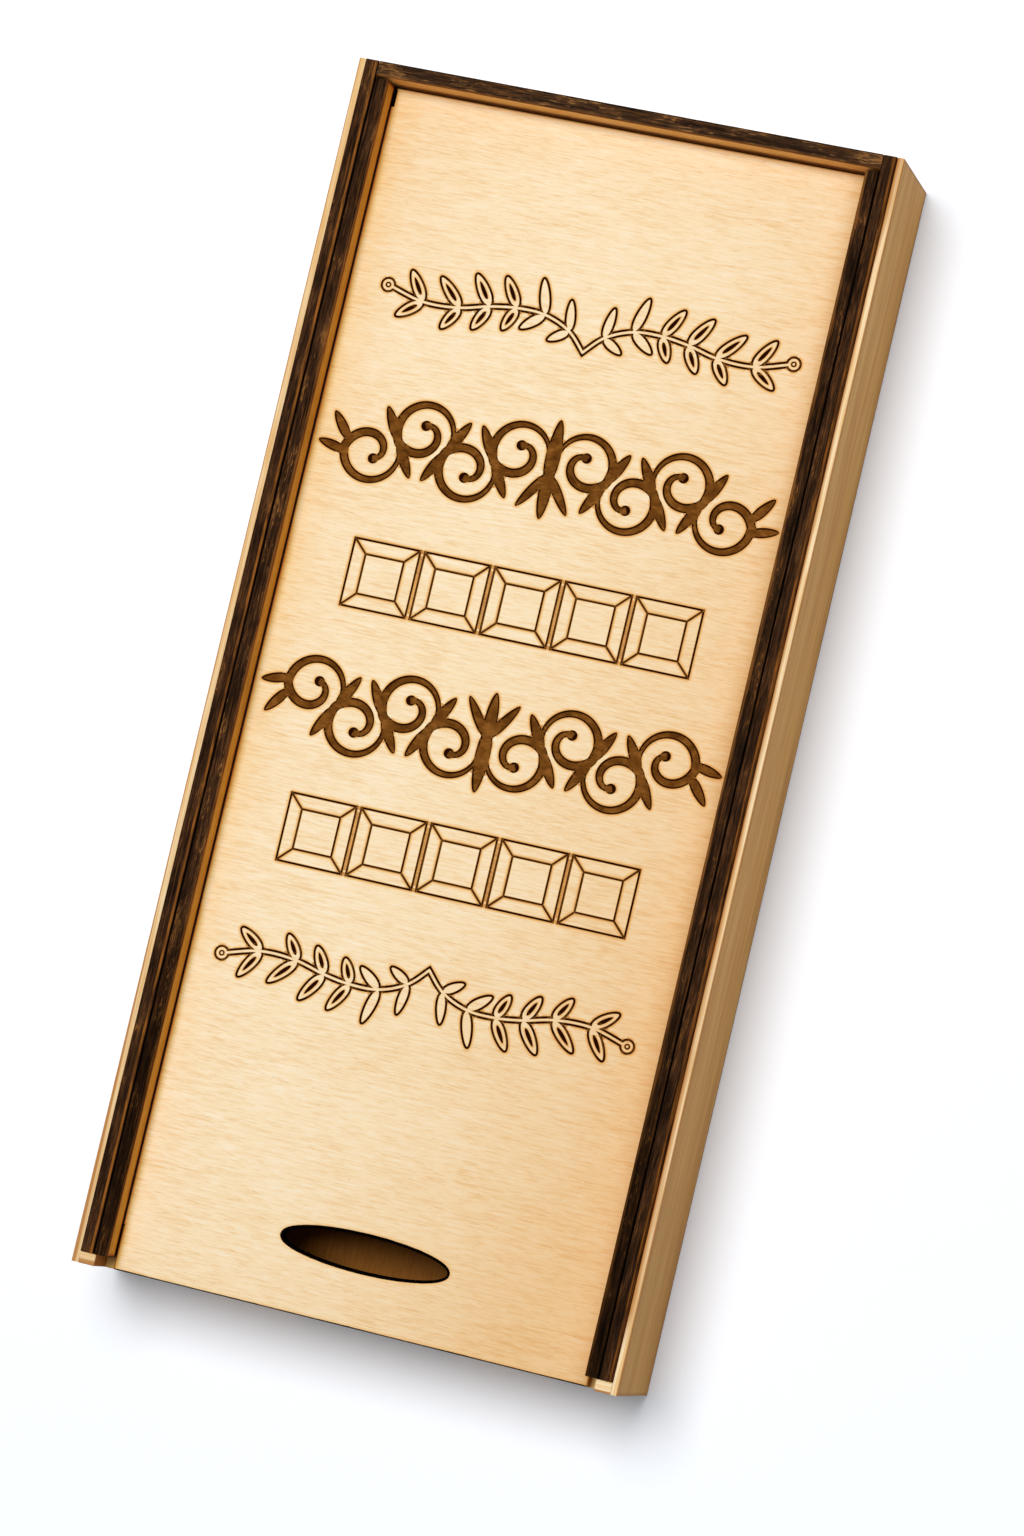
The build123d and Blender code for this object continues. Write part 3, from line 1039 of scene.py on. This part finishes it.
def scroll_row():
    """Filled loops of a row of scrolls, mirrored about a spray of leaves."""
    pitch = 2 * np.sqrt(scroll_radius**2 - scroll_rise**2)
    count = np.arange(scroll_count)
    centres = np.stack([scroll_radius + scroll_gap + pitch * count, scroll_rise * (-1.0) ** count], axis=1)
    steps = np.diff(centres, axis=0)
    loops = []
    for i, centre in enumerate(centres):
        sign = -1 if i % 2 == 0 else 1
        to_last = -steps[i - 1] if i else row_start
        to_next = steps[i] if i + 1 < scroll_count else row_end
        start = np.arctan2(to_last[1], to_last[0])
        stop = np.arctan2(to_next[1], to_next[0])
        loops += scroll(centre, start, sign, (sign * (stop - start)) % (2 * np.pi))
    near, far, width = wedge_leaf
    for touch, step in zip(centres[:-1] + steps / 2, steps):
        across = np.array([-step[1], step[0]]) / np.linalg.norm(step)
        for way in (across, -across):
            loops.append(leaf(touch + near * way, touch + far * way, width))
    loops += [leaf(centres[-1] + base, centres[-1] + tip, size) for base, tip, size in end_leaves]
    filled = [mirrored for loop in loops for mirrored in both_ways(loop)]
    for base, tip, size in spray_leaves:
        shape = leaf(np.array(base), tip, size)
        filled += both_ways(shape) if base[0] else [shape]
    return filled


def square(centre, size):
    """A square of four corners."""
    return np.array(centre) + size / 2 * np.array([(-1, -1), (1, -1), (1, 1), (-1, 1)])


def piece_row():
    """Outlined groups and filled ridges of a row of bevelled chocolate pieces."""
    groups, ridges = [], []
    for i in range(piece_count):
        centre = ((i - (piece_count - 1) / 2) * piece_pitch, 0.0)
        outer, inner = square(centre, piece_size), square(centre, piece_top_size)
        groups += [[outer], [inner]]
        ridges += [ribbon(np.stack(ends), np.full(2, piece_line_half)) for ends in zip(inner, outer)]
    return groups, ridges


print("scroll row:", len(scroll_row()), "loops; pieces:", piece_count)

# %% [markdown]
# ## The lid
# The lid slides, so it is a piece of its own. First the ornament is laid out on it, as groups of loops
# that are cut out and loops that are left standing inside them.

# %% Ornament on the lid
# Places: across and along the lid in millimetres, and -1 for a row that is turned over
sprig_places = (((1.0, 85.2), 1), ((-0.5, -61.0), -1))
scroll_places = (((0.0, 52.6), 1), ((0.0, -5.0), -1))
piece_places = ((0.6, 23.6), (0.0, -32.0))


def placed(loops, place, sign):
    """Loops set at a place on the lid, turned over when the sign is -1."""
    return [anticlockwise(loop * [1, sign] + place) for loop in loops]


def banded(loops, out, back):
    """Loops grown out and the same loops shrunk back, with a line between them."""
    return [grown(loop, out) for loop in loops], [grown(loop, -back) for loop in loops]


groups = []
sprig_eyes = both_ways(disc(sprig_ring, eye_radius, points=18))
for place, sign in sprig_places:
    groups.append(banded(placed(sprig_outlined, place, sign), line_half, line_half))
    groups.append((placed(sprig_slits, place, sign), []))
    groups.append(banded(placed(sprig_eyes, place, sign), 0.0, eye_line))
for place, sign in scroll_places:
    groups.append((placed(scroll_row(), place, sign), []))
piece_groups, piece_ridges = piece_row()
for place in piece_places:
    for group in piece_groups:
        groups.append(banded(placed(group, place, 1), piece_line_half, piece_line_half))
    groups.append((placed(piece_ridges, place, 1), []))
print("engraved groups:", len(groups))

# %% [markdown]
# The engraving could be a picture on the lid, but a cut channel catches the light. So the upper face is
# triangulated together with every loop of the ornament, and each triangle knows which shapes hold it. The
# engraved triangles sink by a quarter of a millimetre, and short walls join the levels. More loops a
# little way out and in let the scorch fade beside each line.

# %% Engraved face
engraving_depth = 0.25
halo = 0.7
inner_halo = 0.2
least_inner_area = 0.03
rim_burn = 0.5
least_burn_area = 4.0
rim_scorch = 0.5
line_scorch = 0.78


def engraved_face(rims, fade_mm, level):
    """The upper face of the lid with its engraving let in, as three parts: face, floors and walls."""
    fades = [grown(rim, -fade_mm) for rim in rims]
    halos = [grown(loop, halo) for out, hole in groups for loop in out]
    inners = [grown(loop, -inner_halo) for out, hole in groups for loop in hole]
    inners = [loop for loop in inners if signed_area(loop) > least_inner_area]
    burns = [grown(loop, -rim_burn) for out, hole in groups if not hole for loop in out]
    burns = [loop for loop in burns if signed_area(loop) > least_burn_area]
    ornament = [loop for out, hole in groups for loop in out + hole]
    place, corners, held, sources = triangulated(rims + ornament + fades + halos + inners + burns)
    wood, on_rim = within(rims, held, sources)
    sunk = np.zeros(len(corners), bool)
    column = len(rims)
    for out, hole in groups:
        middle, last = column + len(out), column + len(out) + len(hole)
        sunk |= held[:, column:middle].any(axis=1) & ~held[:, middle:last].any(axis=1)
        column = last
    kept, sunk = corners[wood & ~sunk], corners[wood & sunk]
    count = len(place)
    on_line, on_face = np.isin(np.arange(count), sunk), np.isin(np.arange(count), kept)
    a, b = borders(sunk, count)
    walls = np.stack([[b + count, b, a], [a + count, b + count, a]]).transpose(0, 2, 1).reshape(-1, 3)
    wall_scorch = np.repeat([1.0, line_scorch], count)
    sunk_level = level - engraving_depth
    layers = (
        (place, level, kept, np.where(on_line, line_scorch, rim_scorch * on_rim), face_finish),
        (place, sunk_level, sunk, 1.0 * (on_line & on_face), engraved_finish),
        (np.r_[place, place], [sunk_level, level], walls, wall_scorch, engraved_finish),
    )
    return [
        {
            "place": np.c_[points, np.repeat(levels, count)],
            "triangles": triangles,
            "grain": points[triangles],
            "scorch": scorch,
            "smooth": False,
            "finish": finish,
        }
        for points, levels, triangles, scorch, finish in layers
    ]


print("the engraving is", engraving_depth, "mm deep")

# %% [markdown]
# The lid's edges and its underside are made like any board's. The finger slot is sanded rounder than the
# outer edges, so that it is kind to a fingertip.

# %% Lid
slot_radius = 0.7
lid_fade = 0.7
rim_wear, slot_wear = 0.25, 0.05

loops, thin, low, high = outline_of("lid")
parts, low_rims, high_rims = [], [], []
for seed, loop in enumerate(loops, start=40):
    loop = resampled(loop, edge_spacing)
    run = np.arange(len(loop)) * edge_spacing
    radius, most_wear = (char_radius, rim_wear) if signed_area(loop) > 0 else (slot_radius, slot_wear)
    wear = 1 + most_wear * ripple(run, seed)
    wall, low_rim, high_rim = edge_wall(loop, edge_profile(high - low, radius, ply_count), wear)
    wall["scorch"][-len(loop) :] = rim_scorch
    parts.append(wall)
    low_rims.append(low_rim)
    high_rims.append(high_rim)
parts += engraved_face(high_rims, lid_fade, high - low)
parts.append(board_face(low_rims, face_fade, 0.0, True, False))
lid = make_piece("lid_wood", parts, thin, low, 0.0, [lid_birch, edges["charred_lid_edge"], engraved])
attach(lid, "lid")
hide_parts("lid")
